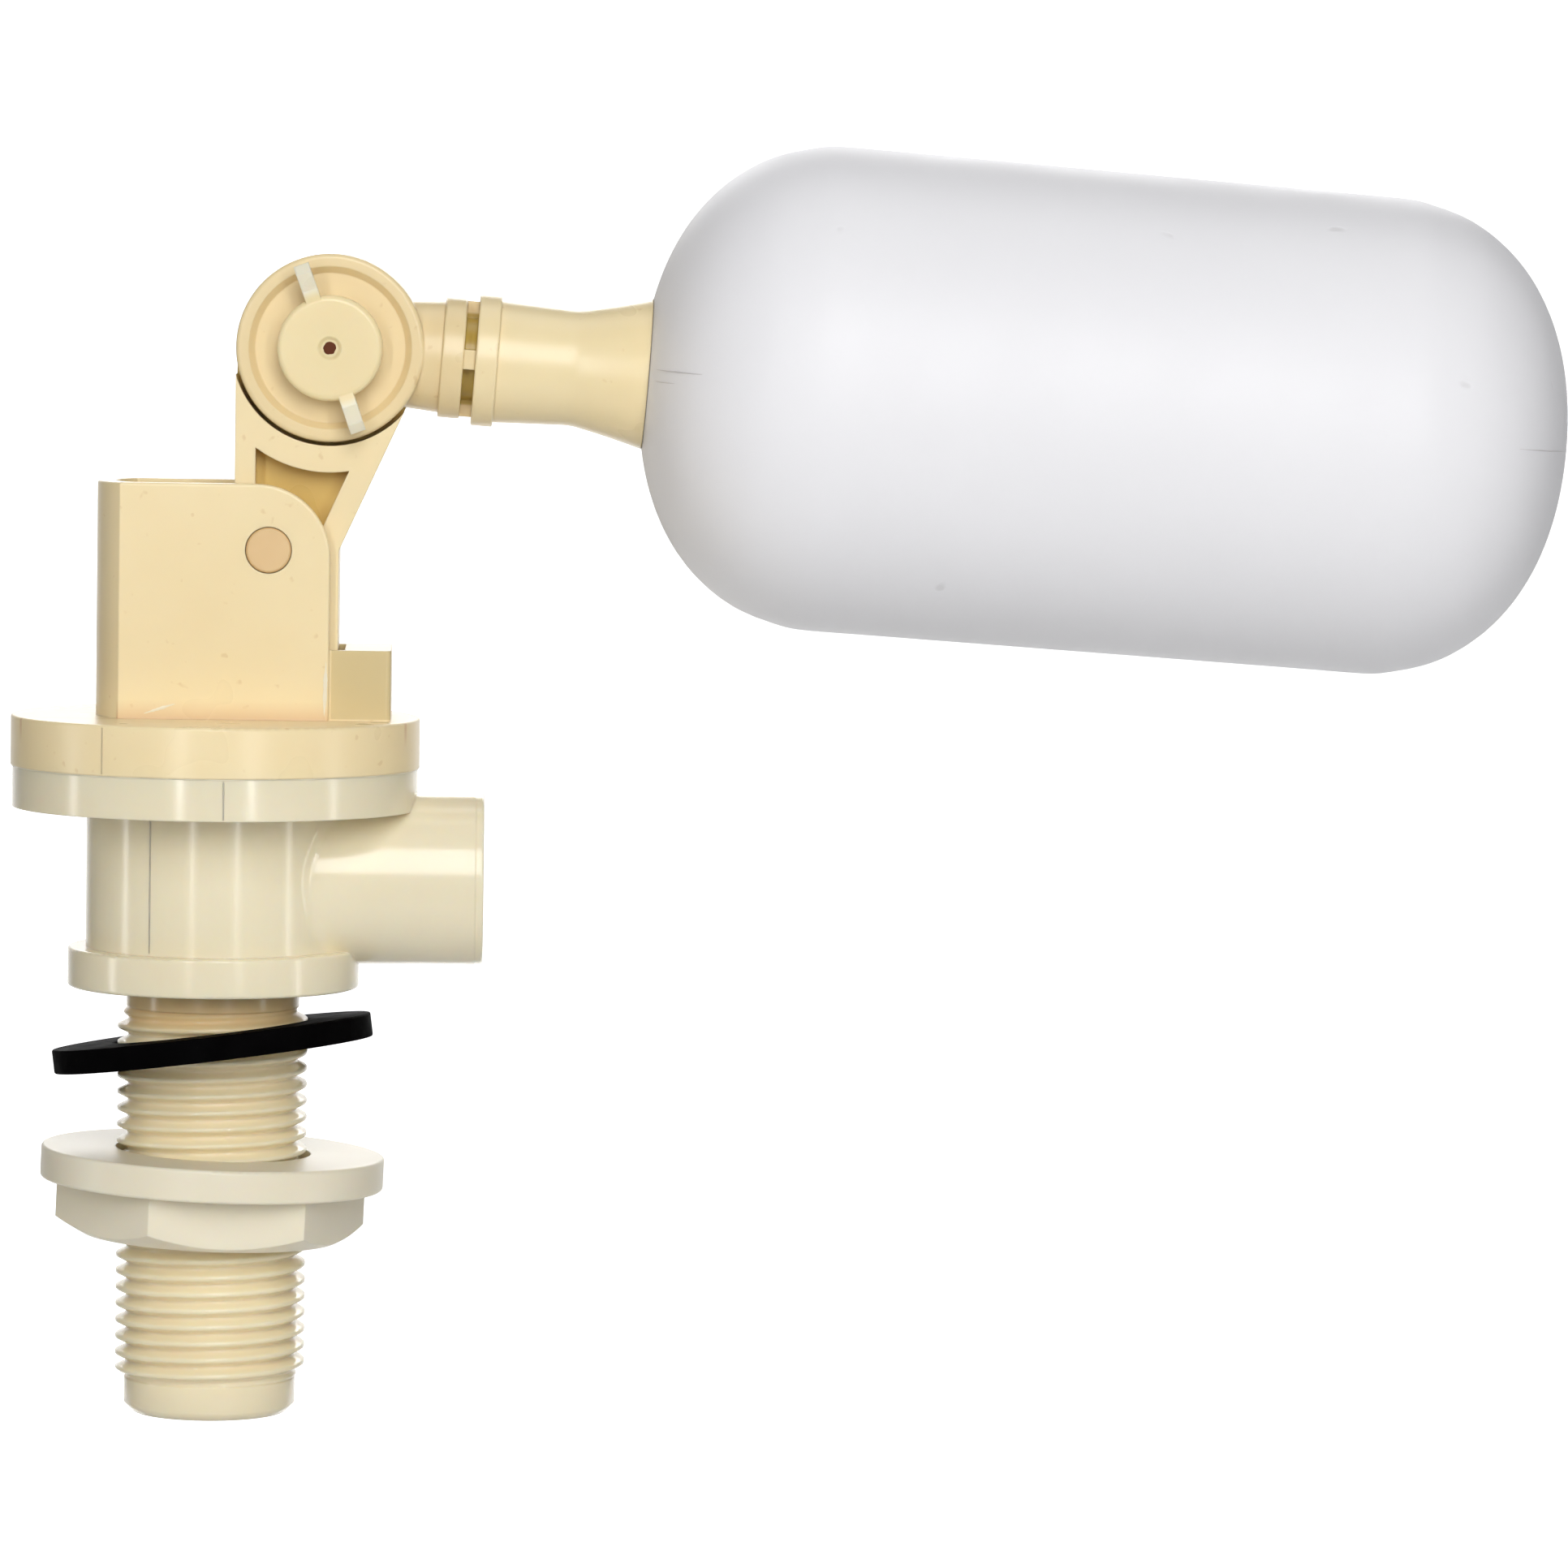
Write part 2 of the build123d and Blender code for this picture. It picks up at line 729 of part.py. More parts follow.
with BuildPart() as float_arm:
    with BuildSketch(arm_profile):
        with BuildLine():
            Polyline(
                (cone_end - cone_lip, cone_r - cone_wall),
                (waist_at + 1.0, arm_bore_r),
                (ring_start, arm_bore_r),
                (ring_start, ring_r),
                (ring_end, ring_r),
                (ring_end, arm_r),
                (waist_at - 2.0, waist_r + 0.05),
            )
            Spline(
                (waist_at - 2.0, waist_r + 0.05),
                (waist_at, waist_r + 0.02),
                (waist_at + 1.6, waist_r + 0.30),
                (cone_end, cone_r),
                tangents=[(1, -0.04), (1, 0.27)],
            )
            Line((cone_end, cone_r), (cone_end - cone_lip, cone_r - cone_wall))
        make_face()
    revolve(axis=arm_axis)
    ring_edges = (
        float_arm.edges()
        .filter_by(GeomType.CIRCLE)
        .filter_by(lambda e: abs(e.radius - ring_r) < 0.01)
    )
    fillet(ring_edges, 0.2)
save(float_arm, "float_arm")


# ---- hollow blow-moulded float with a neck, and the bung that seals it ----


def float_outline(inset):
    """Outline of the float's half section, moved in by an inset, from the near end to the far end."""
    depth = float_end_depth - inset
    near = float_near_r - inset
    far = float_far_r - inset
    start = float_start + inset
    end = float_start + float_length - inset
    steps = 9
    left = []
    right = []
    for step in range(steps + 1):
        turn = radians(90 * step / steps)
        rise = sin(turn) ** (2 / float_end_power)
        run = 1 - cos(turn) ** (2 / float_end_power)
        left.append((start + depth * run, near * rise))
        right.append((end - depth * run, far * rise))
    return left, right


def float_profile(inset):
    """Half section of the float, moved in by an inset, on the arm's plane."""
    left, right = float_outline(inset)
    with BuildSketch(arm_profile) as profile:
        with BuildLine():
            Spline(*left, tangents=[(0, 1), (1, 0)])
            Line(left[-1], right[-1])
            Spline(*right, tangents=[(0, 1), (-1, 0)])
            Line(right[0], left[0])
        make_face()
    return profile.sketch


float_outside = float_profile(0)
float_inside = float_profile(float_wall)

with BuildPart() as float_shell:
    revolve(float_outside, axis=arm_axis)
    with BuildSketch(arm_plane(float_neck_start)):
        Circle(float_neck_r)
    extrude(amount=float_start + 3 - float_neck_start)
    revolve(float_inside, axis=arm_axis, mode=Mode.SUBTRACT)
    with BuildSketch(arm_plane(float_neck_start)):
        Circle(float_neck_bore)
    extrude(amount=float_start + 3 - float_neck_start, mode=Mode.SUBTRACT)
save(float_shell, "float_shell")

with BuildPart() as float_bung:
    with BuildSketch(arm_plane(float_neck_start - 1.0)):
        Circle(float_neck_r - 0.4)
    extrude(amount=1.0)
    with BuildSketch(arm_plane(float_neck_start)):
        Circle(float_neck_bore)
    extrude(amount=7.0)
save(float_bung, "float_bung")


# ---- rubber gasket and locknut, loose on the stem ----

gasket_rest = Plane.XY.offset(gasket_z).rotated((-gasket_pitch, -gasket_roll, 0))
nut_rest = Plane.XY.offset(nut_centre).rotated((0, nut_tilt, 0))

with BuildPart() as rubber_gasket:
    with BuildSketch(gasket_rest.offset(-gasket_thick / 2)):
        Circle(gasket_r)
        Circle(gasket_hole_r, mode=Mode.SUBTRACT)
    extrude(amount=gasket_thick)
    gasket_rims = rubber_gasket.edges().filter_by(GeomType.CIRCLE)
    fillet(gasket_rims, 0.2)
save(rubber_gasket, "rubber_gasket")

hex_corner_r = nut_flats / 2 / cos(radians(30))

with BuildPart() as locknut:
    with BuildSketch(nut_rest.offset(-nut_height / 2)):
        RegularPolygon(nut_flats / 2, 6, major_radius=False, rotation=nut_turn)
    extrude(amount=nut_height)
    # turned-down corners at the bottom of the hexagon
    with BuildSketch(Plane(nut_rest.origin, x_dir=nut_rest.x_dir, z_dir=(0, -1, 0))):
        with BuildLine():
            Polyline(
                (nut_flats / 2 - 0.6, -nut_height / 2),
                (hex_corner_r + 1, -nut_height / 2),
                (hex_corner_r + 1, -nut_height / 2 + 2.2),
                close=True,
            )
        make_face()
    revolve(axis=Axis(nut_rest.origin, nut_rest.z_dir), mode=Mode.SUBTRACT)
    with BuildSketch(nut_rest.offset(nut_height / 2 - nut_flange_h)):
        Circle(nut_flange_r)
    extrude(amount=nut_flange_h)
    flange_rims = (
        locknut.edges()
        .filter_by(GeomType.CIRCLE)
        .filter_by(lambda e: e.radius > nut_flange_r - 0.01)
    )
    fillet(flange_rims, 0.35)
    with BuildSketch(nut_rest.offset(-nut_height)):
        Circle(nut_bore_r)
    extrude(amount=2 * nut_height, mode=Mode.SUBTRACT)
save(locknut, "locknut")
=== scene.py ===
"""Looks of the float valve: detailed pieces, materials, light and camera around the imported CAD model."""

from math import cos, pi, radians, sin, sqrt

import bmesh
import bpy
from mathutils import Matrix, Vector
from mathutils.noise import noise as noise_at


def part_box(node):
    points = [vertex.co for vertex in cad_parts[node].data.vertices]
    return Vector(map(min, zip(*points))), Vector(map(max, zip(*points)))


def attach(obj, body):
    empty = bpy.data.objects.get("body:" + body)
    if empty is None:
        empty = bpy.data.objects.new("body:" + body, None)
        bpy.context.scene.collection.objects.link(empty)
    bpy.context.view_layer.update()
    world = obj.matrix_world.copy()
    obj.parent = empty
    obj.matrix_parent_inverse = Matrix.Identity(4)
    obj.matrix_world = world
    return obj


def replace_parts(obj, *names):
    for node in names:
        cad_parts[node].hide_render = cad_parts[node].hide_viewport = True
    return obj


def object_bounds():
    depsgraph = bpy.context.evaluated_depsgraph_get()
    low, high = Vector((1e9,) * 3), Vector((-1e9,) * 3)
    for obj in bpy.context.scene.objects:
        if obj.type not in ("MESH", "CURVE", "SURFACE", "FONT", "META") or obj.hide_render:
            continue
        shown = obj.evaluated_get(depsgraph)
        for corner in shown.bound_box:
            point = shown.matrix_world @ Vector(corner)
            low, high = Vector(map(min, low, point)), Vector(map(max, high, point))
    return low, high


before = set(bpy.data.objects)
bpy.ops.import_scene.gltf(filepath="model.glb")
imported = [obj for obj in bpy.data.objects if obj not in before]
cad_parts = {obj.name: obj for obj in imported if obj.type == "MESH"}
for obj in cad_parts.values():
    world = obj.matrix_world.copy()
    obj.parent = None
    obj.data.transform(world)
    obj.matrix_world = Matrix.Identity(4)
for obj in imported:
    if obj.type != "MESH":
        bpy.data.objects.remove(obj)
cad_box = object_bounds()
MM = 0.001


# ---- materials ----


def new_material(name):
    """A node material with a Principled shader, its tree and the object's own coordinates."""
    material = bpy.data.materials.new(name)
    material.use_nodes = True
    tree = material.node_tree
    shader = tree.nodes["Principled BSDF"]
    place = tree.nodes.new("ShaderNodeTexCoord")
    return material, tree, shader, place.outputs["Object"]


def noise(tree, place, size_mm, detail=3.0, roughness=0.55, stretch=(1, 1, 1)):
    """Noise whose features are about size_mm across."""
    mapping = tree.nodes.new("ShaderNodeMapping")
    mapping.inputs["Scale"].default_value = [1000 / size_mm / s for s in stretch]
    tree.links.new(place, mapping.inputs["Vector"])
    texture = tree.nodes.new("ShaderNodeTexNoise")
    texture.inputs["Scale"].default_value = 1.0
    texture.inputs["Detail"].default_value = detail
    texture.inputs["Roughness"].default_value = roughness
    tree.links.new(mapping.outputs["Vector"], texture.inputs["Vector"])
    return texture.outputs["Fac"]


def ramp(tree, fac, stops):
    """Colour ramp from a list of (position, colour)."""
    node = tree.nodes.new("ShaderNodeValToRGB")
    while len(node.color_ramp.elements) < len(stops):
        node.color_ramp.elements.new(0.5)
    for element, (position, colour) in zip(node.color_ramp.elements, stops):
        element.position = position
        element.color = (*colour, 1)
    tree.links.new(fac, node.inputs["Fac"])
    return node.outputs["Color"]


def mix(tree, fac, first, second):
    """First colour with some of the second laid over it."""
    node = tree.nodes.new("ShaderNodeMix")
    node.data_type = "RGBA"
    tree.links.new(fac, node.inputs["Factor"])
    tree.links.new(first, node.inputs["A"])
    node.inputs["B"].default_value = (*second, 1)
    return node.outputs["Result"]


def levels(tree, fac, low, high, start=0.3, end=0.7):
    """Map noise between start and end to a range of values."""
    node = tree.nodes.new("ShaderNodeMapRange")
    node.inputs["From Min"].default_value = start
    node.inputs["From Max"].default_value = end
    node.inputs["To Min"].default_value = low
    node.inputs["To Max"].default_value = high
    tree.links.new(fac, node.inputs["Value"])
    return node.outputs["Result"]


def band(tree, value, low_mm, high_mm, soft_mm=0.1):
    """1 where a length lies between two limits, falling to 0 over a soft margin outside them."""
    rising = levels(tree, value, 0.0, 1.0, (low_mm - soft_mm) * MM, low_mm * MM)
    falling = levels(tree, value, 1.0, 0.0, high_mm * MM, (high_mm + soft_mm) * MM)
    return both(tree, rising, falling)


def both(tree, first, second):
    """Two factors multiplied."""
    node = tree.nodes.new("ShaderNodeMath")
    node.operation = "MULTIPLY"
    tree.links.new(first, node.inputs[0])
    tree.links.new(second, node.inputs[1])
    return node.outputs["Value"]


def coordinate(tree, vector, axis):
    """X, Y or Z of a vector, as a socket."""
    node = tree.nodes.new("ShaderNodeSeparateXYZ")
    tree.links.new(vector, node.inputs["Vector"])
    return node.outputs[axis]


def about_axis(tree, place, start, direction):
    """How far a place is along an axis, and how far out from it."""
    offset = tree.nodes.new("ShaderNodeVectorMath")
    offset.operation = "SUBTRACT"
    tree.links.new(place, offset.inputs[0])
    offset.inputs[1].default_value = start
    run = tree.nodes.new("ShaderNodeVectorMath")
    run.operation = "DOT_PRODUCT"
    across = tree.nodes.new("ShaderNodeVectorMath")
    across.operation = "CROSS_PRODUCT"
    for node in (run, across):
        tree.links.new(offset.outputs["Vector"], node.inputs[0])
        node.inputs[1].default_value = direction
    out = tree.nodes.new("ShaderNodeVectorMath")
    out.operation = "LENGTH"
    tree.links.new(across.outputs["Vector"], out.inputs[0])
    return run.outputs["Value"], out.outputs["Value"]


def tint(material, mask, colour):
    """Lays a colour over a material's own, as far as mask(tree, place) says."""
    tree = material.node_tree
    socket = tree.nodes["Principled BSDF"].inputs["Base Color"]
    own = socket.links[0].from_socket
    place = tree.nodes["Texture Coordinate"]
    tree.links.new(mix(tree, mask(tree, place), own, colour), socket)


def bump(tree, shader, heights, edge_mm=None):
    """Chain of bumps from (height, strength, distance in mm), over softened edges where edge_mm is given."""
    normal = None
    if edge_mm:
        bevel = tree.nodes.new("ShaderNodeBevel")
        bevel.samples = 4
        bevel.inputs["Radius"].default_value = edge_mm * MM
        normal = bevel.outputs["Normal"]
    for height, strength, distance in heights:
        node = tree.nodes.new("ShaderNodeBump")
        node.inputs["Strength"].default_value = strength
        node.inputs["Distance"].default_value = distance * MM
        tree.links.new(height, node.inputs["Height"])
        if normal:
            tree.links.new(normal, node.inputs["Normal"])
        normal = node.outputs["Normal"]
    tree.links.new(normal, shader.inputs["Normal"])


def moulded_plastic(
    name, light, dark, rough=(0.30, 0.40), glow=0.12, grain=0.05, specks=0.0, edge_mm=0.25
):
    """Injection-moulded plastic: faintly cloudy resin, a soft flow-marked skin and light that soaks in."""
    material, tree, shader, place = new_material(name)
    cloud = noise(tree, place, 16, 3.0)
    colour = ramp(tree, cloud, [(0.25, dark), (0.75, light)])
    if specks:
        spots = noise(tree, place, 1.1, 1.0, 0.4)
        brown = tuple(part * shade for part, shade in zip(dark, (0.75, 0.62, 0.45)))
        colour = mix(tree, levels(tree, spots, 0.0, specks, 0.72, 0.80), colour, brown)
    tree.links.new(colour, shader.inputs["Base Color"])
    patches = noise(tree, place, 12, 2.0, 0.5)
    tree.links.new(levels(tree, patches, *rough, 0.1, 0.9), shader.inputs["Roughness"])
    shader.inputs["Subsurface Weight"].default_value = glow
    shader.inputs["Subsurface Radius"].default_value = (1.0, 0.70, 0.36)
    shader.inputs["Subsurface Scale"].default_value = 2.0 * MM
    shader.inputs["IOR"].default_value = 1.50
    flow = noise(tree, place, 9, 2.0, 0.5, (1, 1, 4))
    skin = noise(tree, place, 0.45, 2.0)
    bump(tree, shader, [(flow, grain, 0.30), (skin, 2 * grain, 0.02)], edge_mm)
    return material


def float_plastic():
    """Blow-moulded white plastic, satin, with faint wall unevenness and a few tiny pocks."""
    material, tree, shader, place = new_material("float_white")
    cloud = noise(tree, place, 34, 2.0)
    colours = ramp(tree, cloud, [(0.3, (0.865, 0.86, 0.885)), (0.7, (0.89, 0.885, 0.91))])
    pocks = noise(tree, place, 3.2, 0.0)
    # the pocks' middles are darker
    pock_darkening = levels(tree, pocks, 0.0, 0.3, 0.84, 0.87)
    tree.links.new(mix(tree, pock_darkening, colours, (0.55, 0.53, 0.53)), shader.inputs["Base Color"])
    patches = noise(tree, place, 9, 3.0)
    tree.links.new(levels(tree, patches, 0.46, 0.54), shader.inputs["Roughness"])
    shader.inputs["Subsurface Weight"].default_value = 0.12
    shader.inputs["Subsurface Radius"].default_value = (1.0, 0.97, 1.0)
    shader.inputs["Subsurface Scale"].default_value = 3.0 * MM
    shader.inputs["IOR"].default_value = 1.48
    swell = noise(tree, place, 20, 1.0)
    skin = noise(tree, place, 0.9, 2.0)
    dents = levels(tree, pocks, 0.0, -1.0, 0.82, 0.87)
    bump(tree, shader, [(swell, 0.05, 0.5), (skin, 0.05, 0.04), (dents, 0.3, 0.2)])
    return material


def black_rubber():
    """Matt black rubber with a fine open skin."""
    material, tree, shader, place = new_material("black_rubber")
    cloud = noise(tree, place, 6, 5.0)
    colours = ramp(tree, cloud, [(0.35, (0.0006, 0.0005, 0.0006)), (0.75, (0.002, 0.0018, 0.002))])
    tree.links.new(colours, shader.inputs["Base Color"])
    tree.links.new(levels(tree, noise(tree, place, 2.5), 0.62, 0.8), shader.inputs["Roughness"])
    shader.inputs["Specular IOR Level"].default_value = 0.02
    skin = noise(tree, place, 0.35, 4.0)
    bump(tree, shader, [(skin, 0.3, 0.05)])
    return material


def metal(name, light, dark, rough):
    """Turned or drawn metal with fine streaks."""
    material, tree, shader, place = new_material(name)
    streaks = noise(tree, place, 0.22, 3.0, 0.5, (1, 10, 1))
    tree.links.new(ramp(tree, streaks, [(0.3, dark), (0.7, light)]), shader.inputs["Base Color"])
    tree.links.new(levels(tree, streaks, rough, rough + 0.15), shader.inputs["Roughness"])
    shader.inputs["Metallic"].default_value = 1.0
    bump(tree, shader, [(streaks, 0.08, 0.02)])
    return material


CREAM_RESIN = {
    "light": (0.93, 0.775, 0.475),
    "dark": (0.90, 0.73, 0.425),
    "rough": (0.24, 0.34),
    "specks": 0.35,
}
cream = moulded_plastic("cream_plastic", **CREAM_RESIN)
cover_cream = moulded_plastic("cover_plastic", **CREAM_RESIN)
lever_cream = moulded_plastic("lever_plastic", **CREAM_RESIN)
elbow_cream = moulded_plastic(
    "elbow_plastic", (0.86, 0.70, 0.41), (0.82, 0.65, 0.36), rough=(0.24, 0.34), specks=0.35
)
pin_cream = moulded_plastic("pin_plastic", (0.84, 0.62, 0.33), (0.72, 0.47, 0.22), rough=(0.35, 0.5))
ivory = moulded_plastic(
    "ivory_plastic", (0.86, 0.785, 0.585), (0.83, 0.745, 0.535), rough=(0.13, 0.20), glow=0.3
)
# the stem's warmer, brighter ivory: partly the thread's own creamier tone, partly painted bounce light under
# the flange
stem_bounce_ivory = moulded_plastic(
    "stem_bounce_plastic", (0.93, 0.83, 0.59), (0.88, 0.765, 0.52), rough=(0.14, 0.24), glow=0.3
)
pale = moulded_plastic(
    "pale_nut_plastic", (0.85, 0.79, 0.63), (0.82, 0.75, 0.58), rough=(0.30, 0.42), glow=0.3, grain=0.16
)
wing_cream = moulded_plastic(
    "wing_plastic", (0.90, 0.755, 0.455), (0.86, 0.71, 0.40), rough=(0.24, 0.34), glow=0.25
)
flash_white = moulded_plastic(
    "flash_plastic", (0.93, 0.86, 0.66), (0.90, 0.82, 0.60), rough=(0.3, 0.4), edge_mm=None
)
inner = moulded_plastic("inner_plastic", (0.82, 0.82, 0.78), (0.76, 0.76, 0.72))
# dark brown of the wing nut's small hole: painted shade over the hole floor's own reddish brown
gate_hole_shade = moulded_plastic(
    "gate_hole_shade_plastic", (0.17, 0.040, 0.010), (0.10, 0.022, 0.006), rough=(0.8, 0.9), glow=0.0
)
white = float_plastic()
pinch_grey = moulded_plastic(
    "pinch_line_plastic", (0.74, 0.72, 0.73), (0.68, 0.66, 0.67), glow=0.0, edge_mm=None
)
rubber = black_rubber()
brass = metal("brass", (0.80, 0.60, 0.28), (0.62, 0.44, 0.18), 0.22)
steel = metal("steel_wire", (0.66, 0.65, 0.62), (0.45, 0.44, 0.42), 0.2)

# painted shade where walls are deep or sheltered, a painted warm shade on the stem's neck under the flange, and
# paler thin wings; the limits are in millimetres in the CAD model's frame
DROOP = radians(4.0)
ALONG = Vector((cos(DROOP), 0, -sin(DROOP)))
HEAD = Vector((12.25, 0, 70.6))
BOX_X = (12.8, 19.6)
BOX_Z = (30.1, 37.8)
FOOT_Y = (-8.4, -7.9)
FOOT_Z = (29.0, 30.1)
WEB_Y = (-2.9, 2.9)
WINDOWS_ALONG = (12.3, 16.5)
WINDOW_FLOOR_R = (0.0, 5.0)
WINGS_R = (6.6, 12.0)
NECK_Z = (-3.4, 0.0)


def box_shade_mask(tree, place):
    """The low box at the tower's foot, set back behind the cheek: where its painted shade lies."""
    x = coordinate(tree, place.outputs["Object"], "X")
    z = coordinate(tree, place.outputs["Object"], "Z")
    return both(tree, band(tree, x, *BOX_X), band(tree, z, *BOX_Z))


def foot_shade_mask(tree, place):
    """The front cheek's foot, where the painted shade of its corner with the cover lies, fading upwards."""
    y = coordinate(tree, place.outputs["Object"], "Y")
    z = coordinate(tree, place.outputs["Object"], "Z")
    return both(tree, band(tree, z, *FOOT_Z, soft_mm=1.9), band(tree, y, *FOOT_Y))


def web_shade_mask(tree, place):
    """The lever's sunk web, where it faces the front: where the recess's painted shade lies."""
    y = coordinate(tree, place.outputs["Object"], "Y")
    facing = coordinate(tree, place.outputs["Normal"], "Y")
    return both(tree, band(tree, y, *WEB_Y, soft_mm=0.3), levels(tree, facing, 1.0, 0.0, -0.9, -0.7))


def window_shade_mask(tree, place):
    """The floors of the windows in the elbow's collar, where the shade inside them is painted."""
    run, out = about_axis(tree, place.outputs["Object"], HEAD * MM, ALONG)
    return both(tree, band(tree, run, *WINDOWS_ALONG), band(tree, out, *WINDOW_FLOOR_R, soft_mm=0.3))


def wing_mask(tree, place):
    """The wing nut's thin wings, outside its boss."""
    out = about_axis(tree, place.outputs["Object"], HEAD * MM, (0, 1, 0))[1]
    return band(tree, out, *WINGS_R, soft_mm=0.8)


def neck_shade_mask(tree, place):
    """The stem's neck under the flange, where a painted warm shade lies, fading downwards."""
    z = coordinate(tree, place.outputs["Object"], "Z")
    return band(tree, z, *NECK_Z, soft_mm=1.6)


# painted shade on the box set back behind the cheek
tint(cover_cream, box_shade_mask, (0.68, 0.55, 0.29))
# painted shade in the corner where the front cheek meets the cover
tint(cover_cream, foot_shade_mask, (0.80, 0.58, 0.33))
tint(wing_cream, wing_mask, (0.90, 0.84, 0.66))
# painted shade on the floor of the lever's sunk web
tint(lever_cream, web_shade_mask, (0.70, 0.49, 0.145))
# painted shade on the floors of the elbow's windows
tint(elbow_cream, window_shade_mask, (0.55, 0.39, 0.08))
# painted warm shade on the stem's neck under the flange
tint(stem_bounce_ivory, neck_shade_mask, (0.93, 0.70, 0.38))

NODE_MATERIALS = {
    "valve_body": ivory,
    "valve_cover": cover_cream,
    "pilot_nozzle": brass,
    "nozzle_o_ring": rubber,
    "diaphragm": rubber,
    "valve_disc": inner,
    "disc_guide": inner,
    "metering_pin": steel,
    "inlet_strainer": inner,
    "pivot_pin": pin_cream,
    "lever": lever_cream,
    "pilot_pad": rubber,
    "clamp_bolt": brass,
    "wing_nut": wing_cream,
    "elbow": elbow_cream,
    "float_arm": cream,
    "float_shell": white,
    "float_bung": white,
    "rubber_gasket": rubber,
    "locknut": pale,
}
for node, material in NODE_MATERIALS.items():
    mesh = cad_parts[node].data
    mesh.materials.clear()
    mesh.materials.append(material)


# ---- detailed pieces ----

# the places and sizes below are in millimetres, in the CAD model's frame
STEM_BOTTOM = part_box("valve_body")[0][2] / MM
BORE_R = 6.8
NECK_R = 9.52
THREAD_R = 10.4775
THREAD_PITCH = 25.4 / 14
THREAD_DEPTH = 0.6403 * THREAD_PITCH
THREAD_TOP = -2.3
THREAD_BOTTOM = STEM_BOTTOM + 3.8
CUT_Z = -0.6
SEAM_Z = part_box("valve_cover")[0][2] / MM
COVER_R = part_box("valve_cover")[1][1] / MM
COVER_TOP = 29.9
CHEEK_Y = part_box("pivot_pin")[0][1] / MM
BOSS_FRONT = -8.9


def add_piece(name, verts, faces, material, body, sharp=35):
    """Closed mesh from points in millimetres, smooth up to the sharp angle, riding on a body."""
    mesh = bpy.data.meshes.new(name)
    mesh.from_pydata([Vector(v) * MM for v in verts], [], faces)
    mesh.materials.append(material)
    return place_piece(name, mesh, body, sharp)


def place_piece(name, mesh, body, sharp):
    """Object for a mesh, with its normals turned outwards and its shading set."""
    work = bmesh.new()
    work.from_mesh(mesh)
    bmesh.ops.recalc_face_normals(work, faces=work.faces)
    work.to_mesh(mesh)
    work.free()
    for polygon in mesh.polygons:
        polygon.use_smooth = True
    mesh.set_sharp_from_angle(angle=radians(sharp))
    piece = bpy.data.objects.new(name, mesh)
    bpy.context.scene.collection.objects.link(piece)
    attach(piece, body)
    return piece


def ring_solid(profile, steps):
    """Points and faces of a ring: profile(turn) gives its closed outline as (radius, height) points."""
    verts = []
    for step in range(steps):
        turn = 2 * pi * step / steps
        verts += [(r * cos(turn), r * sin(turn), z) for r, z in profile(turn)]
    count = len(verts) // steps
    faces = []
    for step in range(steps):
        after = (step + 1) % steps
        for i in range(count):
            j = (i + 1) % count
            faces.append((step * count + i, after * count + i, after * count + j, step * count + j))
    return verts, faces


def tube_solid(centres, sides, radius_at, across, flat=1.0):
    """Points and faces of a closed bead along a line: radius_at(i) is its radius at centre i."""
    verts = []
    last = len(centres) - 1
    for i, centre in enumerate(centres):
        ahead = (centres[min(i + 1, last)] - centres[max(i - 1, 0)]).normalized()
        side = ahead.cross(across).normalized()
        for k in range(sides):
            turn = 2 * pi * k / sides
            out = side * cos(turn) + across * flat * sin(turn)
            verts.append(centre + out * radius_at(i))
    faces = [
        (i * sides + k, i * sides + (k + 1) % sides, (i + 1) * sides + (k + 1) % sides, (i + 1) * sides + k)
        for i in range(last)
        for k in range(sides)
    ]
    faces.append(tuple(reversed(range(sides))))
    faces.append(tuple(last * sides + k for k in range(sides)))
    return verts, faces


def thread_radius(turn, z):
    """Radius of the right-hand thread's rounded crests and roots, running out at both ends."""
    phase = (z / THREAD_PITCH - turn / (2 * pi)) % 1.0
    slope = min(max((abs(2 * phase - 1) - 0.14) / 0.68, 0.0), 1.0)
    crest = slope * slope * (3 - 2 * slope) * 0.35 + slope * 0.65
    run_out = min((THREAD_TOP - z) / 1.3, (z - THREAD_BOTTOM) / 1.0, 1.0)
    return THREAD_R - THREAD_DEPTH * (1 - crest * max(run_out, 0.0))


def threaded_stem():
    """Stem with a true helical thread, from just under the flange to the chamfered end."""
    rows = int((THREAD_TOP - THREAD_BOTTOM) / (THREAD_PITCH / 14))
    heights = [THREAD_TOP + (THREAD_BOTTOM - THREAD_TOP) * i / rows for i in range(rows + 1)]
    end_r = 9.45

    def outline(turn):
        outer = [(NECK_R, CUT_Z), (NECK_R, THREAD_TOP + 0.05)]
        outer += [(thread_radius(turn, z), z) for z in heights]
        outer += [(end_r, THREAD_BOTTOM - 0.05), (end_r, STEM_BOTTOM + 1.0), (end_r - 1.0, STEM_BOTTOM)]
        return outer + [(BORE_R + 0.3, STEM_BOTTOM), (BORE_R, STEM_BOTTOM + 0.3), (BORE_R, CUT_Z)]

    verts, faces = ring_solid(outline, 120)
    return add_piece("threaded_stem", verts, faces, stem_bounce_ivory, "valve", 50)


def corner_directions(mesh):
    """Shading directions of a mesh's corners, listed by place."""
    found = {}
    for corner in mesh.loops:
        place = tuple(round(v, 7) for v in mesh.vertices[corner.vertex_index].co)
        found.setdefault(place, []).append(mesh.corner_normals[corner.index].vector.copy())
    return found


def keep_directions(mesh, found):
    """Gives a mesh the shading directions listed by place, so that cutting it doesn't show."""
    directions = []
    for face in mesh.polygons:
        for index in face.loop_indices:
            place = tuple(round(v, 7) for v in mesh.vertices[mesh.loops[index].vertex_index].co)
            choices = found.get(place, [face.normal])
            directions.append(max(choices, key=face.normal.dot))
    mesh.normals_split_custom_set(directions)


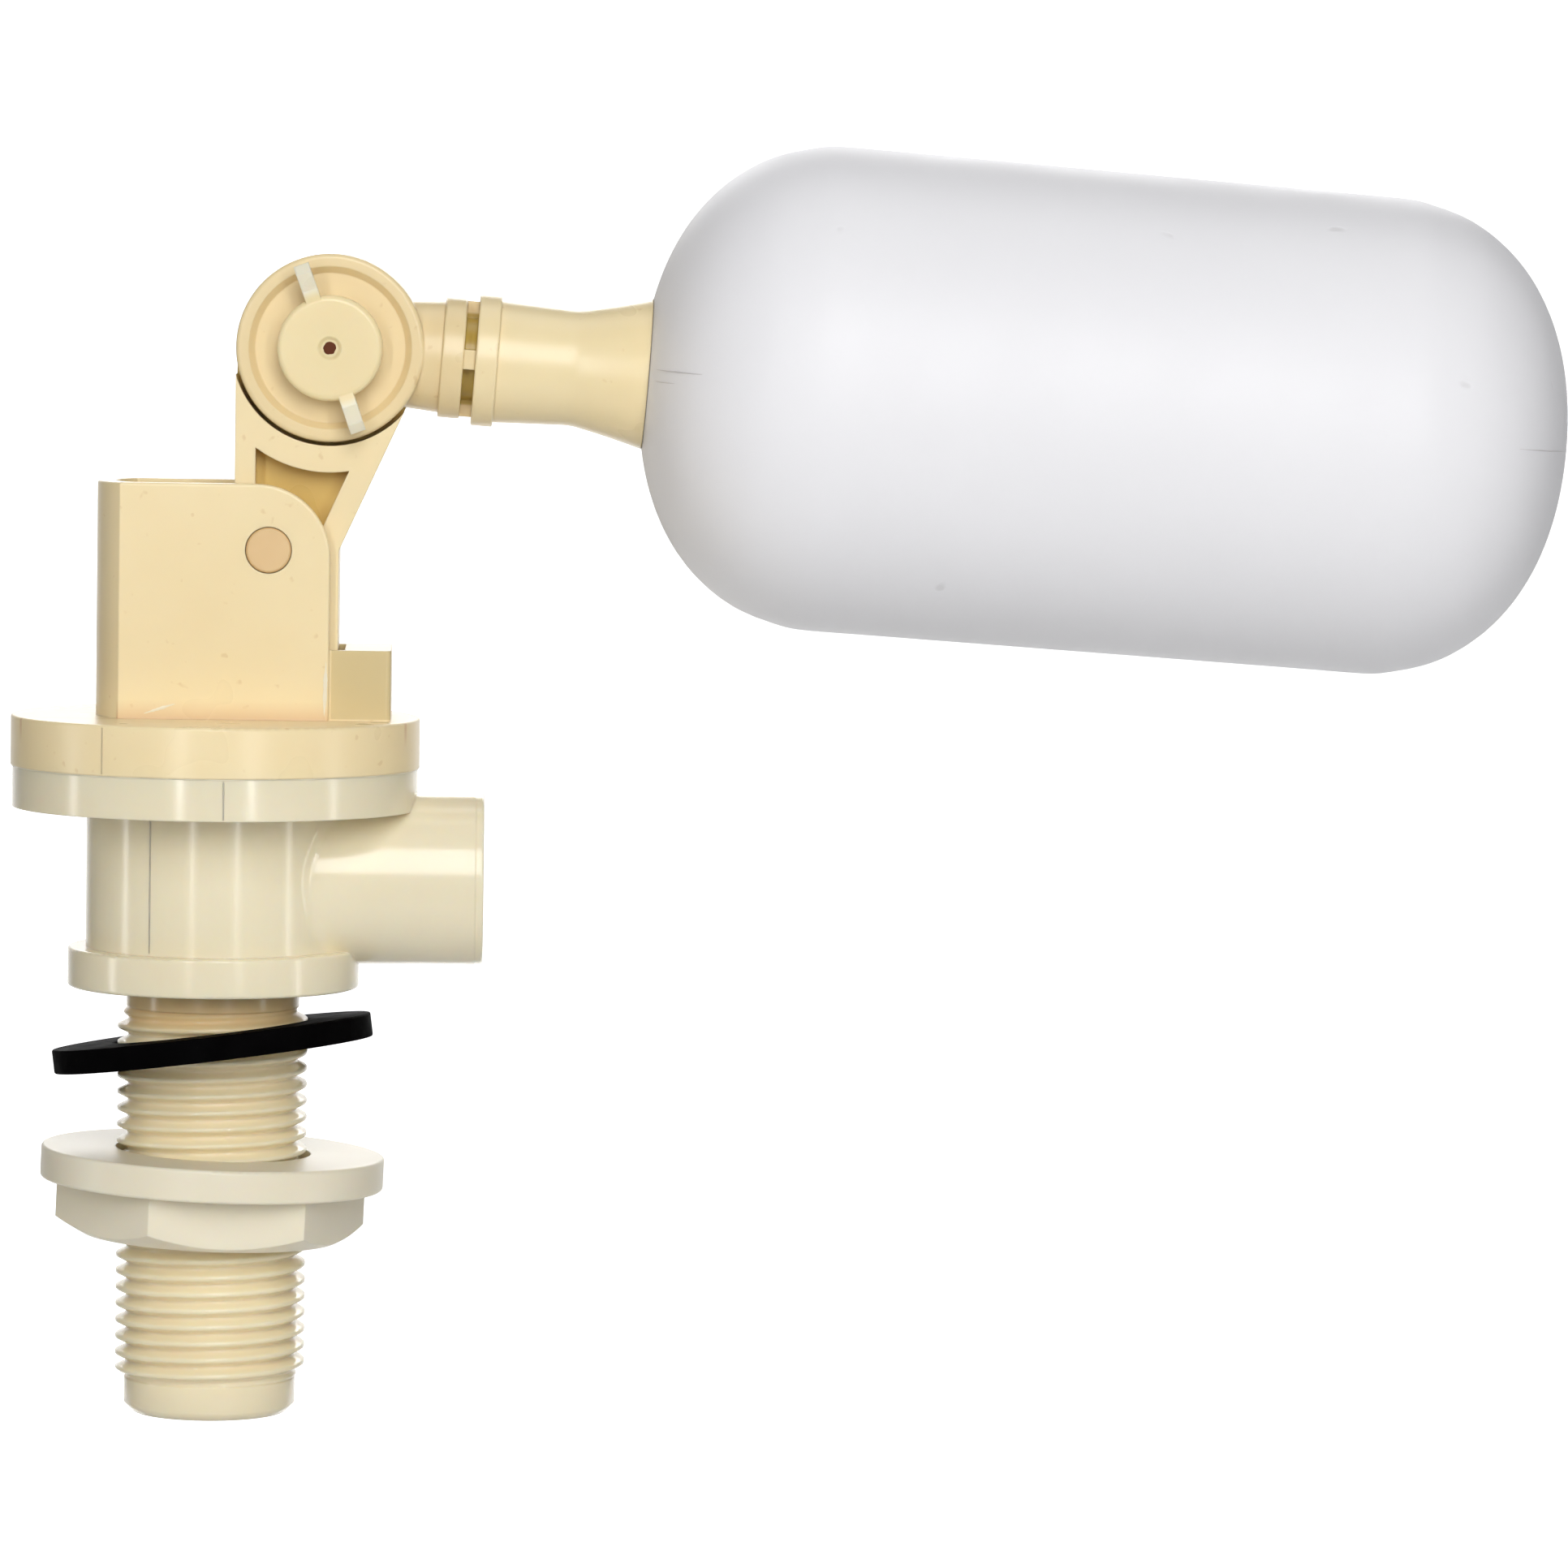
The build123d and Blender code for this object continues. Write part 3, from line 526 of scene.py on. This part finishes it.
def upper_body():
    """The body above the stem, cut from a copy of its CAD mesh and closed again."""
    work = bmesh.new()
    work.from_mesh(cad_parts["valve_body"].data)
    bmesh.ops.remove_doubles(work, verts=work.verts, dist=0.0005 * MM)
    cut = bmesh.ops.bisect_plane(
        work,
        geom=work.verts[:] + work.edges[:] + work.faces[:],
        dist=1e-9,
        plane_co=(0, 0, CUT_Z * MM),
        plane_no=(0, 0, 1),
        clear_inner=True,
    )
    rim = [part for part in cut["geom_cut"] if isinstance(part, bmesh.types.BMEdge)]
    bmesh.ops.triangle_fill(work, edges=rim, use_beauty=True)
    mesh = bpy.data.meshes.new("upper_body")
    work.to_mesh(mesh)
    work.free()
    mesh.materials.clear()
    mesh.materials.append(ivory)
    piece = place_piece("upper_body", mesh, "valve", 30)
    keep_directions(mesh, corner_directions(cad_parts["valve_body"].data))
    return piece


def diaphragm_halves():
    """The rubber diaphragm in two, split where it flexes: its middle lifts with the disc, its rim stays."""
    hub_r, disc_r, split_r, flex_r, rim_r = 2.5, 9.3, 10.1, 18.2, 20.65
    bottom, thin_bottom, thin_top, top = 22.6, 23.2, 24.2, 24.4
    inner_r = split_r + 0.02
    middle = [(hub_r, bottom), (disc_r, bottom), (split_r, thin_bottom), (split_r, thin_top), (hub_r, thin_top)]
    rim = [(inner_r, thin_bottom), (flex_r - 0.8, thin_bottom), (flex_r, bottom), (rim_r, bottom)]
    rim += [(rim_r, top), (flex_r, top), (flex_r - 0.4, thin_top), (inner_r, thin_top)]
    for name, outline, body in (("diaphragm_middle", middle, "main_disc"), ("diaphragm_rim", rim, "valve")):
        verts, faces = ring_solid(lambda turn: outline, 96)
        piece = add_piece(name, verts, faces, rubber, body)
        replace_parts(piece, "diaphragm")


def seam_flash():
    """Ragged feather of flash squeezed out round the joint under the cover."""
    joint_r = COVER_R - 0.25

    def outline(turn):
        ragged = noise_at(Vector((9 * cos(turn), 9 * sin(turn), 3)))
        out = COVER_R - 0.06 + 0.05 * ragged
        low = SEAM_Z - 0.12 - 0.06 * ragged
        return [(joint_r, SEAM_Z), (out, SEAM_Z - 0.01), (out - 0.03, low), (joint_r, low - 0.04)]

    verts, faces = ring_solid(outline, 240)
    return add_piece("seam_flash", verts, faces, flash_white, "valve", 60)


def witness_line(name, radius, x, low, high, material):
    """Fine upright parting line on a round wall, at a distance x from its middle, on the front."""
    centres = [Vector((x, -sqrt(radius**2 - x**2), low + (high - low) * i / 12)) for i in range(13)]
    across = Vector((x, -sqrt(radius**2 - x**2), 0)).normalized()
    verts, faces = tube_solid(centres, 6, lambda i: 0.10 + 0.03 * noise_at(centres[i] * 3), across, 0.35)
    return add_piece(name, verts, faces, material, "valve", 60)


def cheek_flash(name, start, end, wide):
    """Ragged pale flake of flash along a cheek's edge, from one point to another on its face."""
    steps = 26
    start, end = Vector(start), Vector(end)
    centres = [start.lerp(end, i / steps) for i in range(steps + 1)]

    def width(i):
        ends = sin(pi * (i + 0.5) / (steps + 1))
        return wide * ends * (0.55 + 0.9 * abs(noise_at(centres[i] * 2.3)))

    verts, faces = tube_solid(centres, 8, width, Vector((0, -1, 0)), 0.16)
    return add_piece(name, verts, faces, flash_white, "valve", 60)


# float, measured along the arm from the elbow's centre
FLOAT_START = 34.2
FLOAT_LENGTH = 102.4
FLOAT_NEAR_R = 26.75
FLOAT_FAR_R = 26.4
FLOAT_END_DEPTH = 22.0
FLOAT_END_POWER = 2.25


def float_point(turn, far, lift=0.0):
    """Point on the float's front meridian: turn runs over one end, from the axis at 0 to the side."""
    rise = sin(turn) ** (2 / FLOAT_END_POWER)
    run = 1 - cos(turn) ** (2 / FLOAT_END_POWER)
    along = FLOAT_START + FLOAT_END_DEPTH * run
    if far:
        along = FLOAT_START + FLOAT_LENGTH - FLOAT_END_DEPTH * run
    radius = (FLOAT_FAR_R if far else FLOAT_NEAR_R) * rise
    return HEAD + ALONG * along + Vector((0, -radius, lift))


def pinch_line(name, far, first, last, lift):
    """Faint pinch line of the blow mould, laid over one end of the float between two turns."""
    steps = 20
    turns = [radians(first + (last - first) * i / steps) for i in range(steps + 1)]
    centres = [float_point(turn, far, lift) for turn in turns]
    level = Vector((0, 0, 1))
    verts, faces = tube_solid(
        centres, 6, lambda i: 0.07 * sin(pi * (i + 1) / (steps + 2)) + 0.01, level, 1.0
    )
    return add_piece(name, verts, faces, pinch_grey, "float_set", 60)


def gate_hole_shade_lump():
    """Dark brown lump in the wing nut's small front hole: painted shade of the hole over its floor's own
    reddish brown.
    """
    steps = 20
    spot_r = 0.74
    front_y = BOSS_FRONT + 0.20
    back_y = BOSS_FRONT + 0.42
    verts = []
    for ring, (share, y) in enumerate([(0.5, front_y), (0.85, front_y + 0.05), (1.0, back_y)]):
        for k in range(steps):
            turn = 2 * pi * k / steps
            r = spot_r * share * (1 + 0.16 * noise_at(Vector((cos(turn), sin(turn), ring * 0.2)) * 1.7))
            verts.append((HEAD.x + r * cos(turn), y, HEAD.z + r * sin(turn)))
    faces = [
        (ring * steps + k, ring * steps + (k + 1) % steps, (ring + 1) * steps + (k + 1) % steps,
         (ring + 1) * steps + k)
        for ring in range(2)
        for k in range(steps)
    ]
    faces += [tuple(range(steps)), tuple(reversed(range(2 * steps, 3 * steps)))]
    return add_piece("gate_hole_shade_lump", verts, faces, gate_hole_shade, "wing_nut", 50)


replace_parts(upper_body(), "valve_body")
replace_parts(threaded_stem(), "valve_body")
diaphragm_halves()
seam_flash()
witness_line("cover_line", COVER_R, -11.6, SEAM_Z + 0.2, COVER_TOP - 0.3, cream)
witness_line("flange_line", COVER_R - 0.2, 1.6, 20.0, SEAM_Z - 0.3, ivory)
witness_line("barrel_line", 14.1, -6.6, 4.6, 19.6, ivory)
cheek_flash("corner_flash", (12.05, CHEEK_Y, 30.4), (12.20, CHEEK_Y, 36.4), 0.30)
cheek_flash("foot_flash", (-7.6, CHEEK_Y, 30.5), (-4.2, CHEEK_Y, 31.6), 0.22)
pinch_line("pinch_near_upper", False, 22, 46, 0.75)
pinch_line("pinch_near_lower", False, 20, 34, -0.55)
pinch_line("pinch_far", True, 20, 52, 0.2)
gate_hole_shade_lump()


# ---- stage, light and camera ----


def stage_floor():
    """Pale floor that curves up into a backdrop lit white behind the valve, well clear of it."""
    floor_z = cad_box[0][2] - 0.40
    width = 3.0
    front_y = -1.6
    bend_y = 1.0
    bend_r = 0.6
    steps = 16
    rows = [(front_y, floor_z), (bend_y, floor_z)]
    for step in range(1, steps + 1):
        turn = pi / 2 * step / steps
        rows.append((bend_y + bend_r * sin(turn), floor_z + bend_r * (1 - cos(turn))))
    rows.append((bend_y + bend_r, floor_z + 3.0))
    mesh = bpy.data.meshes.new("floor")
    verts = [(x, y, z) for y, z in rows for x in (-width, width)]
    faces = [(2 * i, 2 * i + 1, 2 * i + 3, 2 * i + 2) for i in range(len(rows) - 1)]
    mesh.from_pydata(verts, [], faces)
    for polygon in mesh.polygons:
        polygon.use_smooth = True
    floor = bpy.data.objects.new("floor", mesh)
    bpy.context.scene.collection.objects.link(floor)
    material, tree, shader, place = new_material("floor_pale")
    shader.inputs["Base Color"].default_value = (0.9, 0.9, 0.9, 1)
    shader.inputs["Roughness"].default_value = 0.9
    shader.inputs["Emission Color"].default_value = (1, 1, 1, 1)
    run, out = about_axis(tree, place, (0.14, 0, 0.04), Vector((0, 1, -0.09)).normalized())
    far = levels(tree, run, 0.0, 1.0, 0.7, 1.0)
    near_middle = levels(tree, out, 1.0, 0.0, 0.42, 1.3)
    tree.links.new(both(tree, far, near_middle), shader.inputs["Emission Strength"])
    mesh.materials.append(material)


def area_light(name, place, aim, width, height, power, colour=(1, 1, 1)):
    """Rectangular soft light at a place, turned to its aim."""
    data = bpy.data.lights.new(name, "AREA")
    data.shape = "RECTANGLE"
    data.size = width
    data.size_y = height
    data.energy = power
    data.color = colour
    light = bpy.data.objects.new(name, data)
    bpy.context.scene.collection.objects.link(light)
    light.location = place
    light.rotation_euler = (Vector(aim) - Vector(place)).to_track_quat("-Z", "Y").to_euler()


def studio():
    """Two tall strip lights either side of the camera, a soft box over it, and a soft light behind."""
    world = bpy.data.worlds.new("studio")
    bpy.context.scene.world = world
    world.use_nodes = True
    world.node_tree.nodes["Background"].inputs["Color"].default_value = (1, 1, 1, 1)
    world.node_tree.nodes["Background"].inputs["Strength"].default_value = 0.09
    middle = (0.05, 0, 0.02)
    area_light("strip_left", (-0.27, -0.85, 0.20), middle, 0.025, 0.52, 1.6)
    area_light("strip_right", (0.34, -0.83, 0.20), middle, 0.025, 0.52, 1.5)
    area_light("front_top", (0.08, -0.76, 0.40), middle, 0.30, 0.52, 3.2)
    area_light("left_edge", (-0.85, -0.08, 0.12), middle, 0.08, 0.60, 0.9)
    area_light("right_edge", (0.92, -0.30, 0.10), middle, 0.08, 0.60, 0.8)
    area_light("overhead", (0.1, 0.1, 0.9), middle, 0.6, 0.5, 1.2)
    area_light("behind", (0.05, 0.95, 0.45), middle, 0.7, 0.4, 3.0)


def photo_camera():
    """Long-lens camera at the photograph's viewing angle."""
    azimuth = radians(2.55)
    elevation = radians(4.13)
    roll = radians(0.884)
    distance = 0.8257
    target = Vector((0.06283, 0, 0.02305))
    ahead = Vector((sin(azimuth) * cos(elevation), cos(azimuth) * cos(elevation), -sin(elevation)))
    level = Vector((cos(azimuth), -sin(azimuth), 0))
    above = level.cross(ahead)
    right = level * cos(roll) + above * sin(roll)
    up = above * cos(roll) - level * sin(roll)
    data = bpy.data.cameras.new("camera")
    data.sensor_width = 36.0
    data.lens = 171.2
    camera = bpy.data.objects.new("camera", data)
    bpy.context.scene.collection.objects.link(camera)
    turn = Matrix((right, up, -ahead)).transposed().to_4x4()
    camera.matrix_world = Matrix.Translation(target - ahead * distance) @ turn
    bpy.context.scene.camera = camera


stage_floor()
studio()
photo_camera()
bpy.context.scene.view_settings.view_transform = "Standard"
